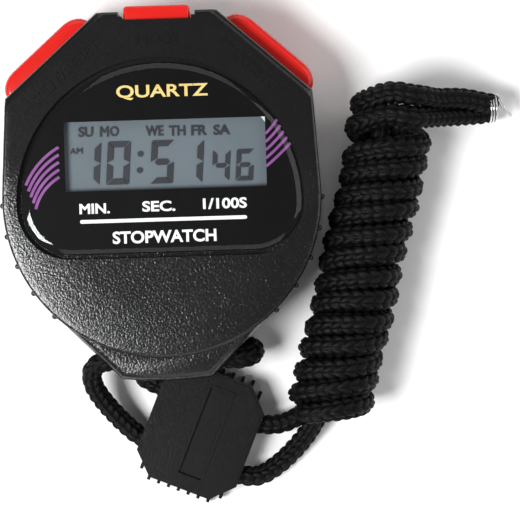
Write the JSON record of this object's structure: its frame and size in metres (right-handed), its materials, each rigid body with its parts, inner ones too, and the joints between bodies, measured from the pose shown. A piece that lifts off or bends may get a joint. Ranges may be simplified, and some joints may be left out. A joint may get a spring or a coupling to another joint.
{
  "type": "digital stopwatch",
  "caption": "Hand-held digital stopwatch in a round black case with a display window, red push buttons and a wound cord lanyard with a sliding adjuster.",
  "frame": {"origin": "centre of the bottom of the watch's own box, on its back face, without the cord and adjuster", "axes": "+Z out of the display, +Y from the lanyard tab towards the mode button, +X to the right of the display"},
  "size_m": [0.1092, 0.1048, 0.0191],
  "materials": {
    "case": "fine spark texture, satin",
    "lens": "clear gloss acrylic",
    "mask": "gloss black print",
    "print_white": "white ink",
    "print_gold": "gold ink",
    "print_purple": "purple ink",
    "tape": "double-sided tape",
    "lcd": "grey-blue display, satin polariser",
    "lcd_ink": "dark display segments",
    "reflector": "satin foil",
    "frame_plastic": "natural moulded",
    "zebra": "matte elastomer",
    "board": "solder mask",
    "epoxy": "cured epoxy",
    "ceramic_chip": "fired ceramic",
    "steel": "plated",
    "contact": "plated spring metal",
    "button": "gloss red",
    "adjuster": "fine matte texture",
    "cord": "braided polyester",
    "wire": "bright wire"
  },
  "bodies": {
    "root": {"front_case": "case", "rear_case": "case", "lens": "lens", "dial_mask": "mask", "lens_tape": "tape", "lcd_cell": "lcd", "lcd_polariser": "lcd", "lcd_reflector": "reflector", "lcd_frame": "frame_plastic", "zebra_strip_upper": "zebra", "zebra_strip_lower": "zebra", "circuit_board": "board", "chip_blob": "epoxy", "quartz_crystal": "steel", "chip_capacitors": "ceramic_chip", "button_cell": "steel", "cell_contact_plus": "contact", "cell_contact_minus": "contact", "sounder_disc": "contact", "sounder_springs": "steel", "leaf_split_reset": "contact", "leaf_mode": "contact", "leaf_start_stop": "contact", "case_screws": "steel", "board_screws": "steel", "cord_left": "cord", "cord_right": "cord", "cord_hank": "cord", "cord_tail": "cord", "cord_tie": "wire"},
    "split_reset": {"button_split_reset": "button"},
    "mode": {"button_mode": "button"},
    "start_stop": {"button_start_stop": "button"},
    "adjuster": {"adjuster_front": "adjuster", "adjuster_back": "adjuster"}
  },
  "joints": [
    {"name": "split_reset_press", "type": "slide", "parent": "root", "child": "split_reset", "axis": [0.6644, -0.7474, 0], "range_m": [0, 0.0012], "stiffness_N_per_m": 900, "deforming": ["leaf_split_reset"]},
    {"name": "mode_press", "type": "slide", "parent": "root", "child": "mode", "axis": [0, -1, 0], "range_m": [0, 0.0009], "stiffness_N_per_m": 900, "deforming": ["leaf_mode"]},
    {"name": "start_stop_press", "type": "slide", "parent": "root", "child": "start_stop", "axis": [-0.6644, -0.7474, 0], "range_m": [0, 0.0012], "stiffness_N_per_m": 900, "deforming": ["leaf_start_stop"]},
    {"name": "adjuster_slide", "type": "slide", "parent": "root", "child": "adjuster", "axis": [0.9225, -0.3859, 0], "range_m": [-0.0005, 0.002]}
  ]
}
